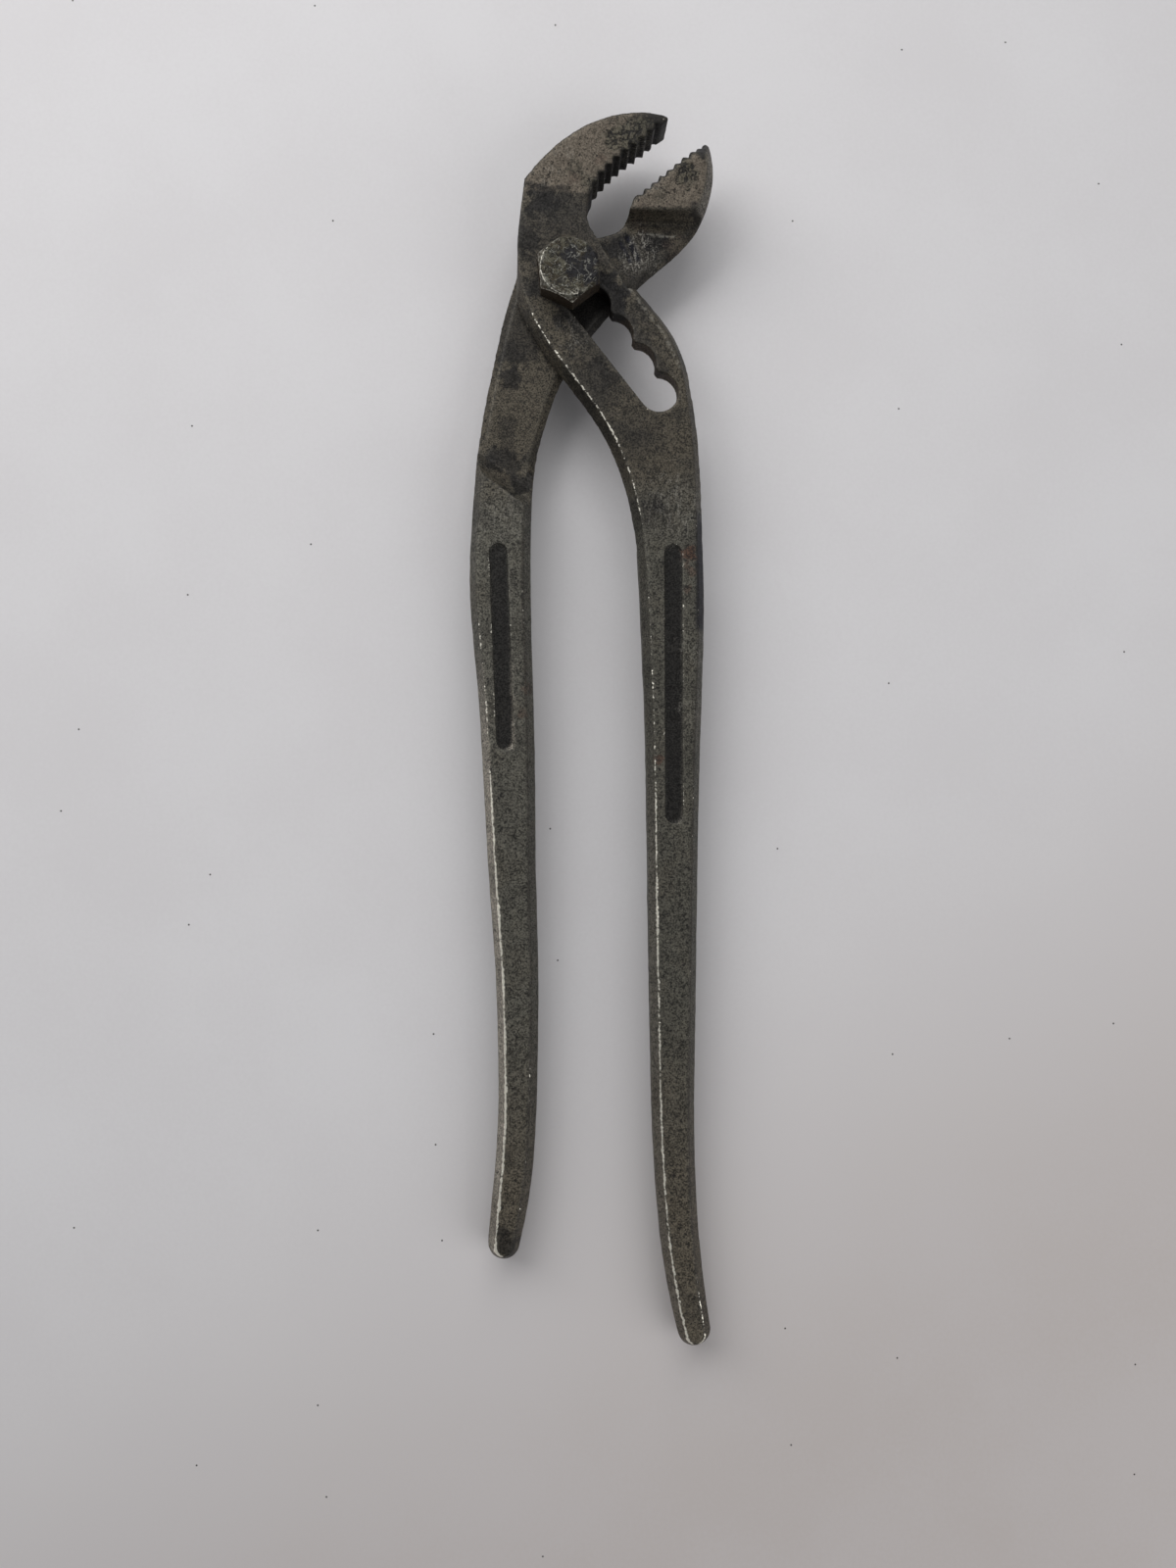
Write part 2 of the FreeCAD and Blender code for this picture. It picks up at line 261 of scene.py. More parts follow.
def slotted_lap(points, normals):
    """1 on the web's back and the slot's nearer walls, which bear on the plain lever and the bolt."""
    back = (normals[:, 2] < -0.9) & (np.abs(points[:, 2] - WEB_BACK) < LAP_NEAR)
    return (back | (slot_place(points) < 4.6 * MM)).astype(float)


slotted = lever_piece("slotted_lever", "slotted_lever_forging", slotted_lap, slotted_ground)
points, normals = points_and_normals(slotted)
x, y, z = (points / MM).T
paint(slotted, "ground", slotted_ground(points, normals), 1)
paint(slotted, "teeth", soft_step(normals @ np.array(TEETH_FACE), 0.1, 0.4) * (y > 17.0) * (x > 4.0), 1)
paint(slotted, "panel", panel_floor(points, (22.6, -59.2), (22.8, -115.4)), 1)
slot_wall = soft_step(slot_place(points) / MM, 5.3, 4.7) * soft_step(np.abs(normals[:, 2]), 0.7, 0.4)
paint(slotted, "slot_wall", slot_wall, 1)

# Rubbed bare, with painted highlight on the left ones: the handle's left ridge, the web's lower left one, and
# the right one at the handle's end.
left = soft_step(-normals[:, 0], 0.04, 0.16) * in_front(points)
lower_left = soft_step(-normals[:, 0] - normals[:, 1], 0.05, 0.2) * in_front(points)
right_end = soft_step(normals[:, 0], 0.04, 0.16) * in_front(points) * soft_step(-y, 214, 224)
wear_and_highlight = left * (0.2 * soft_step(-y, 60, 80) + 0.4 * soft_step(-y, 95, 130))
wear_and_highlight = np.maximum(wear_and_highlight, 0.38 * lower_left * soft_step(-y, 5, 12) * soft_step(y, -58, -48))
wear_and_highlight = np.maximum(wear_and_highlight, 0.4 * right_end)
in_panel = round_panel(points, 22.9, 3.2, -120)
paint(slotted, "wear_and_highlight", bare_and_highlight_share(wear_and_highlight * soft_step(slot_place(points) / MM, 5.6, 7.0), in_panel))
# Painted highlight, with some polish, on the handle's left-facing slopes.
polish_and_highlight = 0.3 * soft_step(-normals[:, 0], 0.15, 0.4) * (normals[:, 2] > 0.2)
paint(slotted, "polish_and_highlight", polish_and_highlight * soft_step(-y, 90, 130), 1)

# Painted shade and a dark smear on the right ridge, and a bent scratch in the strip right of the slot.
paint(slotted, "ridge_shade", right_ridge(points, normals) * ~in_panel, 1)
paint(slotted, "smear", streak(points, (28.7, -51.0), (28.6, -74.5), 1.7) * (z > 5.0), 1)
upper_scratch = streak(points, (10.8, 0.8), (20.6, -12.2), 0.5)
lower_scratch = streak(points, (20.6, -12.2), (24.0, -19.0), 0.5)
paint(slotted, "scratch", 0.1 * np.maximum(upper_scratch, lower_scratch) * (normals[:, 2] > 0.5))
paint_wear(slotted, WEAR_ROUNDS, WEAR_BULGE)


def srgb(red, green, blue):
    """A colour from the three numbers of a colour chart, 0 to 255, as a shader takes it."""
    share = np.array([red, green, blue]) / 255
    linear = np.where(share <= 0.04045, share / 12.92, ((share + 0.055) / 1.055) ** 2.4)
    return (*linear.tolist(), 1.0)


def add(tree, kind, inputs=None, **settings):
    """A node with its settings, and its inputs set to values or wired to other nodes' sockets."""
    node = tree.nodes.new(kind)
    for setting, value in settings.items():
        setattr(node, setting, value)
    for name, value in (inputs or {}).items():
        if isinstance(value, bpy.types.NodeSocket):
            tree.links.new(value, node.inputs[name])
        else:
            node.inputs[name].default_value = value
    return node


def calc(tree, operation, first, second=0.5, third=0.5):
    """One step of arithmetic."""
    return add(tree, "ShaderNodeMath", {0: first, 1: second, 2: third}, operation=operation).outputs[0]


def product(tree, *factors):
    """All the factors multiplied."""
    result = factors[0]
    for factor in factors[1:]:
        result = calc(tree, "MULTIPLY", result, factor)
    return result


def rest_of(tree, share):
    """1 less the share."""
    return calc(tree, "SUBTRACT", 1.0, share)


def centred(tree, value):
    """A value between 0 and 1, brought to lie about 0."""
    return calc(tree, "SUBTRACT", value, 0.5)


def place_math(tree, operation, first, second, output="Vector"):
    """One step of arithmetic on places."""
    return add(tree, "ShaderNodeVectorMath", {0: first, 1: second}, operation=operation).outputs[output]


def scaled(tree, place, factor):
    """A place times one number."""
    return add(tree, "ShaderNodeVectorMath", {0: place, "Scale": factor}, operation="SCALE").outputs[0]


def colour_mix(tree, share, under, over, how="MIX"):
    """One colour laid over another, as far as the share says."""
    inputs = {0: share, 6: under, 7: over}
    return add(tree, "ShaderNodeMix", inputs, data_type="RGBA", blend_type=how).outputs[2]


def value_mix(tree, share, under, over):
    """The same with numbers."""
    return add(tree, "ShaderNodeMix", {0: share, 2: under, 3: over}, data_type="FLOAT").outputs[0]


def rise(tree, value, low, high):
    """0 at the low value, 1 at the high one."""
    inputs = {"Value": value, "From Min": low, "From Max": high}
    return add(tree, "ShaderNodeMapRange", inputs, interpolation_type="SMOOTHSTEP").outputs[0]


def noise(tree, place, size, detail=2.0):
    """Noise whose blotches are about the size across."""
    return add(tree, "ShaderNodeTexNoise", {"Vector": place, "Scale": 1 / size, "Detail": detail}).outputs[0]


def mark(tree, name):
    """One of the piece's painted numbers."""
    return add(tree, "ShaderNodeAttribute", attribute_name=name).outputs["Fac"]


def new_group(name, inputs, outputs):
    """An empty node group with named inputs and outputs, and its two end nodes."""
    group = bpy.data.node_groups.new(name, "ShaderNodeTree")
    for side, names in (("INPUT", inputs), ("OUTPUT", outputs)):
        for socket in names:
            kind = "NodeSocketVector" if socket in ("Place", "Middle") else "NodeSocketFloat"
            group.interface.new_socket(socket, in_out=side, socket_type=kind)
    return group, group.nodes.new("NodeGroupInput").outputs, group.nodes.new("NodeGroupOutput").inputs


def use(tree, group, **inputs):
    """Places a node group; gives its outputs."""
    node = tree.nodes.new("ShaderNodeGroup")
    node.node_tree = group
    for name, value in inputs.items():
        socket = node.inputs[name.replace("_", " ")]
        if isinstance(value, bpy.types.NodeSocket):
            tree.links.new(value, socket)
        else:
            socket.default_value = value
    return node.outputs


# Grain of a forged skin: a fine tone, dark flecks, slow patches, and the height that goes with them.
skin_grain, given, made = new_group("skin_grain", ["Place", "Grain"], ["Tone", "Flecks", "Patches", "Height"])
fine_place = scaled(skin_grain, given["Place"], calc(skin_grain, "DIVIDE", 1.0, given["Grain"]))
fine = noise(skin_grain, fine_place, 1.0, 2.0)
middling = noise(skin_grain, fine_place, 3.4, 2.0)
tone = calc(skin_grain, "ADD", product(skin_grain, fine, 0.78), product(skin_grain, middling, 0.22))
fleck_place = place_math(skin_grain, "ADD", fine_place, (31.0, 17.0, 5.0))
flecks = rise(skin_grain, noise(skin_grain, fleck_place, 2.2, 1.0), 0.63, 0.69)
patches = rise(skin_grain, noise(skin_grain, given["Place"], 9 * MM, 4.0), 0.3, 0.7)
skin_grain.links.new(rise(skin_grain, tone, 0.32, 0.68), made["Tone"])
skin_grain.links.new(flecks, made["Flecks"])
skin_grain.links.new(patches, made["Patches"])
skin_grain.links.new(calc(skin_grain, "SUBTRACT", tone, flecks), made["Height"])

# A ragged stain about one place of the front, running down the sides below it.
stain, given, made = new_group("stain", ["Place", "Middle", "Reach", "Ragged"], ["Mask"])
flat_place = place_math(stain, "MULTIPLY", given["Place"], (1.0, 1.0, 0.0))
away = place_math(stain, "DISTANCE", flat_place, given["Middle"], "Value")
ragged = product(stain, centred(stain, noise(stain, given["Place"], 2 * MM, 5.0)), given["Ragged"])
reach = calc(stain, "ADD", calc(stain, "DIVIDE", away, given["Reach"]), ragged)
stain.links.new(rest_of(stain, rise(stain, reach, 0.5, 1.0)), made["Mask"])

# Small round pits, some of them left out.
pits, given, made = new_group("pits", ["Place", "Spacing", "Share"], ["Mask"])
jitter = add(pits, "ShaderNodeTexNoise", {"Vector": given["Place"], "Scale": 1 / (0.9 * MM)}).outputs["Color"]
moved = place_math(pits, "ADD", given["Place"], scaled(pits, jitter, 0.7 * MM))
closeness = calc(pits, "DIVIDE", 1.0, given["Spacing"])
cells = add(pits, "ShaderNodeTexVoronoi", {"Vector": moved, "Scale": closeness}).outputs
chance = add(pits, "ShaderNodeSeparateColor", {0: cells["Color"]}).outputs[0]
size = product(pits, rise(pits, chance, rest_of(pits, given["Share"]), 1.0), 0.42)
pits.links.new(rise(pits, calc(pits, "SUBTRACT", size, cells["Distance"]), 0.0, 0.12), made["Mask"])

# Thin wandering lines, as corrosion and scratches leave them.
veins, given, made = new_group("veins", ["Place", "Size", "Width"], ["Mask"])
vein_place = scaled(veins, given["Place"], calc(veins, "DIVIDE", 1.0, given["Size"]))
level = calc(veins, "ABSOLUTE", centred(veins, noise(veins, vein_place, 1.0, 3.0)))
veins.links.new(rest_of(veins, rise(veins, level, 0.0, given["Width"])), made["Mask"])

# Edges rubbed bare, and painted highlight on edges, in a broken line.
bare_and_highlight_edges, given, made = new_group("bare_and_highlight_edges", ["Place", "Edge", "Share"], ["Mask"])
short_gaps = centred(bare_and_highlight_edges, noise(bare_and_highlight_edges, given["Place"], 0.6 * MM, 3.0))
long_gaps = centred(bare_and_highlight_edges, noise(bare_and_highlight_edges, given["Place"], 6 * MM, 2.0))
edge = calc(bare_and_highlight_edges, "ADD", given["Edge"], given["Share"])
edge = calc(bare_and_highlight_edges, "ADD", edge, product(bare_and_highlight_edges, short_gaps, 1.7))
edge = calc(bare_and_highlight_edges, "ADD", edge, product(bare_and_highlight_edges, long_gaps, 0.9))
edge = product(bare_and_highlight_edges, rise(bare_and_highlight_edges, edge, 0.97, 1.2), rise(bare_and_highlight_edges, given["Edge"], 0.15, 0.5))
bare_and_highlight_edges.links.new(edge, made["Mask"])

SKIN_BROWN = srgb(66, 61, 52)
SKIN_DARK = srgb(40, 37, 33)
END_BROWN = srgb(81, 73, 61)
FLECK = srgb(26, 24, 22)
GROUND = srgb(87, 80, 71)
SOOT = srgb(27, 26, 26)
RUST = srgb(60, 42, 32)
SLOT_BROWN = srgb(74, 63, 50)
# Near white: bare metal lit by a painted highlight.
BARE_AND_HIGHLIGHT = srgb(246, 241, 226)
# Lighter slopes: painted highlight with some polish.
POLISH_AND_HIGHLIGHT = srgb(130, 124, 114)
SCARRED = srgb(72, 69, 59)
INK = srgb(15, 15, 23)
SCUFFED = srgb(128, 125, 118)


def stained(tree, place, spots):
    """All the stains of one kind together, from (x, y, reach, strength) in millimetres."""
    total = None
    for x, y, reach, strength in spots:
        middle = Vector((x, y, 0.0)) * MM
        spot = use(tree, stain, Place=place, Middle=middle, Reach=reach * MM, Ragged=2.4)["Mask"]
        spot = product(tree, spot, strength)
        total = spot if total is None else calc(tree, "MAXIMUM", total, spot)
    return total


def new_material(name):
    """A material, its node tree, and the piece's own places in it."""
    material = bpy.data.materials.new(name)
    material.use_nodes = True
    tree = material.node_tree
    return material, tree, add(tree, "ShaderNodeTexCoord").outputs["Object"]


def grained(tree, colour, shade, flecks):
    """The colour made lighter and darker by the shade, with dark flecks on it."""
    shades = add(tree, "ShaderNodeCombineColor", {0: shade, 1: shade, 2: shade}).outputs[0]
    colour = colour_mix(tree, 1.0, colour, shades, "MULTIPLY")
    return colour_mix(tree, product(tree, flecks, 0.8), colour, FLECK)


def finish_steel(tree, colour, metallic, roughness, height):
    """Wires a steel's colour, sheen and finest relief to its shader."""
    bump = add(tree, "ShaderNodeBump", {"Height": height, "Strength": 0.6, "Distance": 0.06 * MM}).outputs[0]
    shader = tree.nodes["Principled BSDF"]
    shader.inputs["Specular IOR Level"].default_value = 0.3
    tree.links.new(colour, shader.inputs["Base Color"])
    tree.links.new(metallic, shader.inputs["Metallic"])
    tree.links.new(roughness, shader.inputs["Roughness"])
    tree.links.new(bump, shader.inputs["Normal"])


def forged_steel(name, handle_grey, soot_and_shade_spots, rust_spots, grime_spots, scar_spots, scuff_spots):
    """Forging skin with ground jaws, black teeth and panels, stains, bare ridges, and painted highlight and
    shade on slopes, ridges and round the bolt's head.
    """
    material, tree, place = new_material(name)
    _, along, above = add(tree, "ShaderNodeSeparateXYZ", {0: place}).outputs
    front = rise(tree, above, 1 * MM, 4 * MM)
    tone, flecks, patches, grain_height = use(tree, skin_grain, Place=place, Grain=0.32 * MM)[:4]
    dust = noise(tree, place, 2.6 * MM, 5.0)

    # The skin: brown at the joint, grey along the handle, brown again at its end, patchy everywhere.
    wandering = product(tree, centred(tree, patches), 0.7)
    to_grey = calc(tree, "ADD", rise(tree, along, -34 * MM, -58 * MM), wandering)
    colour = colour_mix(tree, to_grey, SKIN_BROWN, handle_grey)
    at_end = product(tree, rise(tree, along, -150 * MM, -205 * MM), 0.6)
    colour = colour_mix(tree, at_end, colour, END_BROWN)
    patchy = calc(tree, "SUBTRACT", 0.75, product(tree, rise(tree, along, -34 * MM, -70 * MM), 0.5))
    colour = colour_mix(tree, product(tree, rise(tree, patches, 0.45, 0.9), patchy), colour, SKIN_DARK)
    # Grime spots, and painted shade along the handles' right ridge.
    grime_and_ridge_shade = product(tree, stained(tree, place, grime_spots), front)
    grime_and_ridge_shade = calc(tree, "MAXIMUM", grime_and_ridge_shade, product(tree, mark(tree, "ridge_shade"), 0.9))
    colour = colour_mix(tree, grime_and_ridge_shade, colour, SKIN_DARK)

    # The jaw's ground sides, with pits that still hold the skin.
    ground_pits = use(tree, pits, Place=place, Spacing=1.2 * MM, Share=0.45)["Mask"]
    ground_pits = product(tree, ground_pits, rise(tree, patches, 0.1, 0.6))
    ground_share = calc(tree, "ADD", mark(tree, "ground"), product(tree, centred(tree, dust), 0.9))
    bare_ground = rise(tree, ground_share, 0.45, 0.75)
    bare_ground = product(tree, bare_ground, rest_of(tree, product(tree, ground_pits, 0.85)))
    colour = colour_mix(tree, bare_ground, colour, GROUND)

    # Soot in the teeth, the panels and the hollows, and soot with painted shade round the bolt's head;
    # smears, corroded places, scuffs and rust.
    colour = colour_mix(tree, product(tree, mark(tree, "slot_wall"), 0.8), colour, SLOT_BROWN)
    soot_and_shade = product(tree, stained(tree, place, soot_and_shade_spots), front)
    for where, share in (("teeth", 0.85), ("panel", 0.9), ("hollow", 0.75)):
        soot_and_shade = calc(tree, "MAXIMUM", soot_and_shade, product(tree, mark(tree, where), share))
    colour = colour_mix(tree, soot_and_shade, colour, SOOT)
    smeared = product(tree, mark(tree, "smear"), rise(tree, dust, 0.2, 0.4))
    colour = colour_mix(tree, smeared, colour, INK)
    scarred = product(tree, stained(tree, place, scar_spots), front)
    scars = product(tree, use(tree, veins, Place=place, Size=1.7 * MM, Width=0.1)["Mask"], scarred)
    colour = colour_mix(tree, product(tree, scarred, 0.75), colour, SCARRED)
    colour = colour_mix(tree, scars, colour, SOOT)
    stretch = {"Vector": place, "Rotation": (0, 0, 0.6), "Scale": (1.0, 0.25, 1.0)}
    long_place = add(tree, "ShaderNodeMapping", stretch).outputs[0]
    scuffs = use(tree, veins, Place=long_place, Size=1.4 * MM, Width=0.04)["Mask"]
    scuffs = calc(tree, "MAXIMUM", scuffs, product(tree, rise(tree, tone, 0.5, 0.9), 0.25))
    scuffs = product(tree, scuffs, stained(tree, place, scuff_spots), front)
    colour = colour_mix(tree, product(tree, scuffs, 0.6), colour, SCUFFED)
    rust = product(tree, stained(tree, place, rust_spots), front)
    colour = colour_mix(tree, rust, colour, RUST)
    # Painted highlight, with some polish, on the marked slopes.
    polish_and_highlight = product(tree, mark(tree, "polish_and_highlight"), rise(tree, patches, -0.4, 0.5))
    colour = colour_mix(tree, product(tree, polish_and_highlight, 0.8), colour, POLISH_AND_HIGHLIGHT)

    # The grain, stronger on the skin than on ground steel, and the bare metal with its painted highlight over
    # everything.
    dark, light = value_mix(tree, bare_ground, 0.24, 0.5), value_mix(tree, bare_ground, 2.0, 1.6)
    colour = grained(tree, colour, value_mix(tree, tone, dark, light), flecks)
    bare_and_highlight = use(tree, bare_and_highlight_edges, Place=place, Edge=mark(tree, "worn"), Share=mark(tree, "wear_and_highlight"))["Mask"]
    scratch = product(tree, mark(tree, "scratch"), rise(tree, noise(tree, place, 0.7 * MM, 3.0), 0.42, 0.56))
    bare_and_highlight = calc(tree, "MAXIMUM", bare_and_highlight, scratch)
    colour = colour_mix(tree, product(tree, mark(tree, "worn"), 0.07), colour, SCUFFED)
    colour = colour_mix(tree, bare_and_highlight, colour, BARE_AND_HIGHLIGHT)

    metallic = value_mix(tree, bare_ground, 0.35, 0.7)
    metallic = value_mix(tree, soot_and_shade, metallic, 0.6)
    metallic = value_mix(tree, rust, metallic, 0.0)
    metallic = value_mix(tree, bare_and_highlight, metallic, 0.8)
    roughness = value_mix(tree, tone, 0.62, 0.5)
    roughness = value_mix(tree, bare_ground, roughness, 0.54)
    roughness = value_mix(tree, bare_and_highlight, roughness, 0.34)
    height = calc(tree, "SUBTRACT", grain_height, product(tree, ground_pits, mark(tree, "ground")))
    height = calc(tree, "SUBTRACT", height, product(tree, scars, 2.0))
    finish_steel(tree, colour, metallic, roughness, height)
    return material


# The spots close round the bolt's head, by the slot's mouth, are painted shade over soot.
SLOTTED_SOOT_AND_SHADE = [(18.5, 33.4, 4.4, 0.95), (15.5, 33.8, 3.2, 0.7), (12.8, 31.2, 2.6, 0.4),
                (-5.6, 15.6, 5.0, 0.8), (-0.9, 17.4, 2.6, 0.6), (-8.7, 7.3, 3.6, 0.7),
                (8.7, -3.0, 5.0, 0.95), (9.6, -5.8, 4.6, 0.95), (4.0, -5.2, 5.6, 0.9),
                (0.2, -7.8, 4.2, 0.8), (7.0, -0.9, 4.4, 0.9), (8.7, -21.5, 3.2, 0.6),
                (19.6, -18.9, 2.8, 0.6), (6.8, -18.9, 2.4, 0.5), (19.6, -49.2, 2.0, 0.6),
                (-6.9, -2.8, 2.6, 0.6), (10.5, -8.0, 2.6, 0.35)]
SLOTTED_RUST = [(25.9, -59.0, 2.2, 0.95), (19.6, -103.9, 1.5, 0.8), (26.3, -63.0, 1.6, 0.5),
                (25.6, -67.0, 1.2, 0.5), (7.0, 25.2, 1.6, 0.35), (1.0, 21.0, 1.4, 0.3)]
SLOTTED_GRIME = [(8.4, -23.5, 7.0, 0.6), (0.0, 8.0, 16.0, 0.7), (8.0, -12.0, 12.0, 0.7),
                 (14.0, -34.0, 9.0, 0.45), (19.0, -50.0, 5.0, 0.5)]
SLOTTED_SCARS = [(12.6, 30.5, 4.4, 1.0), (9.8, 29.4, 3.0, 0.9), (15.5, 32.0, 3.2, 0.9), (1.5, 23.0, 2.2, 0.5),
                 (5.5, 20.5, 2.4, 0.6)]
SLOTTED_SCUFFS = [(23.0, -49.0, 8.0, 0.5), (26.4, -80.0, 4.0, 0.5), (26.4, -93.0, 4.0, 0.5),
                  (-1.2, 27.2, 2.6, 0.35), (-4.4, 21.4, 2.6, 0.4), (2.0, -12.0, 5.0, 0.4)]
slotted.data.materials.append(forged_steel(
    "slotted_lever_steel", srgb(71, 69, 62), SLOTTED_SOOT_AND_SHADE, SLOTTED_RUST, SLOTTED_GRIME, SLOTTED_SCARS,
    SLOTTED_SCUFFS))
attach(slotted, "slotted_half")
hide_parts("slotted_lever")


# --- Plain lever -------------------------------------------------------------------------------------
# The lower jaw, the round boss that the bolt runs through and the left handle: the same forging and
# grinding as the slotted lever. It turns on the bolt, under the slotted lever's web.

WEB_FRONT = 4.73 * MM           # the lapped face of the plain lever's web
# Two gouges in the web's front: both ends, half the width and the depth, in millimetres.
GOUGES = [((13.0, 10.6), (15.2, 5.9), 1.0, 0.35), ((11.6, 9.4), (13.6, 5.4), 0.7, 0.2)]


def plain_ground(points, normals):
    """1 on the jaw's ground sides, front and back, but not on the web's lapped face."""
    outside = (points[:, 2] < 0.5 * MM) | (points[:, 2] > FRONT - 0.5 * MM)
    return ground_above(points, normals, 12.8, 15.2) * outside


def plain_lap(points, normals):
    """1 on the web's front and in the bore, which bear on the slotted lever and the bolt."""
    front = (normals[:, 2] > 0.9) & (np.abs(points[:, 2] - WEB_FRONT) < LAP_NEAR)
    near = np.hypot(points[:, 0], points[:, 1]) < 4.8 * MM
    return (front | near).astype(float)


plain = lever_piece("plain_lever", "plain_lever_forging", plain_lap, plain_ground)
for start, end, width, depth in GOUGES:
    gouge(plain, start, end, width, depth * MM)
points, normals = points_and_normals(plain)
x, y, z = (points / MM).T
paint(plain, "ground", plain_ground(points, normals), 1)
paint(plain, "teeth", soft_step(normals @ -np.array(TEETH_FACE), 0.2, 0.5) * (y > 16.5) * (x > 12.0), 1)
paint(plain, "panel", panel_floor(points, (-15.0, -59.2), (-13.5, -99.6)), 1)
paint(plain, "slot_wall", np.zeros(len(points)))

# Rubbed bare, with painted highlight: the handle's left ridge. Painted highlight with some polish: the slopes
# outside it and outside the jaw.
left = soft_step(-normals[:, 0], 0.04, 0.16) * in_front(points)
wear_and_highlight = left * (0.2 * soft_step(-y, 60, 80) + 0.56 * soft_step(-y, 85, 125))
in_panel = round_panel(points, -14.2, 3.0, -105)
paint(plain, "wear_and_highlight", bare_and_highlight_share(wear_and_highlight, in_panel) - 0.3 * soft_step(y, -58, -50))
polish_and_highlight = 1.2 * soft_step(-normals[:, 0], 0.15, 0.4) * soft_step(-y, 75, 105)
jaw_slope = soft_step(normals[:, 0], 0.15, 0.4) * soft_step(y, 12, 16) * (x > 24)
polish_and_highlight = np.maximum(polish_and_highlight, 0.45 * jaw_slope)
paint(plain, "polish_and_highlight", polish_and_highlight * (normals[:, 2] > 0.2), 1)

# Painted shade on the right ridge, dirt in the gouges, and a bright scratch under the jaw.
paint(plain, "ridge_shade", right_ridge(points, normals) * ~in_panel, 1)
gouged = np.maximum(*(streak(points, start, end, width) for start, end, width, _ in GOUGES))
paint(plain, "smear", gouged * (z > 3))
scratch = streak(points, (15.4, 11.3), (23.8, 10.8), 0.35) * (normals[:, 2] > 0.3) * (z > 3)
paint(plain, "scratch", 0.16 * scratch)
paint_wear(plain, WEAR_ROUNDS, WEAR_BULGE)

# The last spot, round the bolt's head, is painted shade over soot.
PLAIN_SOOT_AND_SHADE = [(-12.2, -20.5, 3.0, 0.8), (-13.4, -30.8, 3.0, 0.55), (-15.1, -38.3, 3.4, 0.8),
              (-11.8, -39.3, 3.0, 0.7), (-13.0, -35.0, 2.4, 0.4), (-10.3, -43.6, 3.8, 0.85),
              (-12.2, -15.3, 3.4, 0.5), (26.6, 11.6, 2.0, 0.5), (28.4, 15.0, 2.6, 0.7), (19.5, 9.7, 3.4, 0.9),
              (11.0, 8.5, 4.2, 0.9), (22.0, 6.0, 3.0, 0.6), (29.1, 28.2, 3.4, 0.95),
              (-14.0, -207.0, 4.6, 0.7), (-13.0, -190.0, 2.0, 0.4), (6.0, -6.0, 9.0, 0.8)]
PLAIN_RUST = [(-9.2, -88.5, 1.6, 0.45), (-10.2, -94.1, 1.4, 0.45), (23.7, 8.0, 3.4, 0.18),
              (15.7, 13.6, 3.0, 0.12)]
PLAIN_GRIME = [(13.0, 5.0, 9.0, 0.8), (-10.0, -10.0, 10.0, 0.8), (20.0, 8.0, 6.0, 0.6)]
PLAIN_SCARS = [(25.3, 22.5, 3.2, 1.0), (24.4, 24.6, 2.4, 0.9), (19.5, 17.8, 2.0, 0.4)]
PLAIN_SCUFFS = [(-13.5, -52.0, 6.0, 0.35), (15.9, 8.0, 5.0, 1.0), (13.5, 5.2, 3.6, 0.8),
                (18.6, 5.6, 3.2, 0.6), (18.0, 20.0, 3.0, 0.25)]
plain.data.materials.append(forged_steel(
    "plain_lever_steel", srgb(77, 75, 68), PLAIN_SOOT_AND_SHADE, PLAIN_RUST, PLAIN_GRIME, PLAIN_SCARS, PLAIN_SCUFFS))
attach(plain, "plain_half")
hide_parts("plain_lever")


# --- Pivot bolt and nut ------------------------------------------------------------------------------
# A 5/16 in bolt with a chamfered hex head, and its nut at the back: cold headed steel, blackened once,
# with the head's face dented and its rim rubbed by spanners and use; painted highlight brightens the
# rim and the corners on the lower left.

HARDWARE_CELL = 0.16 * MM       # width of one face of the bolt's and the nut's skin
HARDWARE_ROUNDS = 6             # how far round a point its bulge is judged
DENT_SIZE, DENT_DEPTH = 1.5 * MM, 0.12 * MM         # knocks on the head and the nut
PIT_SIZE, PIT_DEPTH = 0.5 * MM, 0.06 * MM           # the roughness of cold headed steel
HEAD_LOW, HEAD_HIGH = 11.0 * MM, 15.0 * MM          # the head's back and its face
CHAMFER_START = 6.05 * MM       # the head's face begins to slope down at this radius
CHAMFER_SLOPE = 0.6
THREAD_PITCH = 1.41 * MM
THREAD_DEPTH = 0.45 * MM


def hardware_piece(node, name, face_up):
    """A bolt's or nut's even skin, dented and pitted where no other piece bears on it."""
    piece = copy_of_node(node, name)
    cover_evenly(piece, HARDWARE_CELL, 2)
    points, normals = points_and_normals(piece)
    outward, height = normals[:, 2] * face_up, points[:, 2] * face_up
    outside = np.hypot(points[:, 0], points[:, 1]) > 4.6 * MM
    free = np.where((outward > -0.5) & (height > 0) & outside, 1.0, 0.0)
    free = np.maximum(free, (outward > 0.5) & (np.abs(points[:, 2]) > 4.8 * MM))
    sink(piece, free, DENT_SIZE, DENT_DEPTH, name + "_dents")
    sink(piece, free, PIT_SIZE, PIT_DEPTH, name + "_scale")
    return piece


bolt = hardware_piece("pivot_bolt", "hex_bolt", 1)
points, normals = points_and_normals(bolt)
radius = np.hypot(points[:, 0], points[:, 1])

# The head's corners are turned down, and the thread is cut as a helix at the back.
lowered = CHAMFER_SLOPE * np.maximum(radius - CHAMFER_START, 0)
points[:, 2] -= lowered * np.maximum(points[:, 2] - HEAD_LOW, 0) / (HEAD_HIGH - HEAD_LOW)
turn = np.arctan2(points[:, 1], points[:, 0]) / (2 * math.pi)
crest = np.abs(((points[:, 2] / THREAD_PITCH + turn) % 1) * 2 - 1)
on_thread = (points[:, 2] < -0.5 * MM) & (radius > 3.0 * MM)
cut = crest * THREAD_DEPTH * on_thread
points[:, :2] *= 1 - cut[:, None] / np.maximum(radius[:, None], MM)
bolt.data.vertices.foreach_set("co", points.ravel())
bolt.data.update()

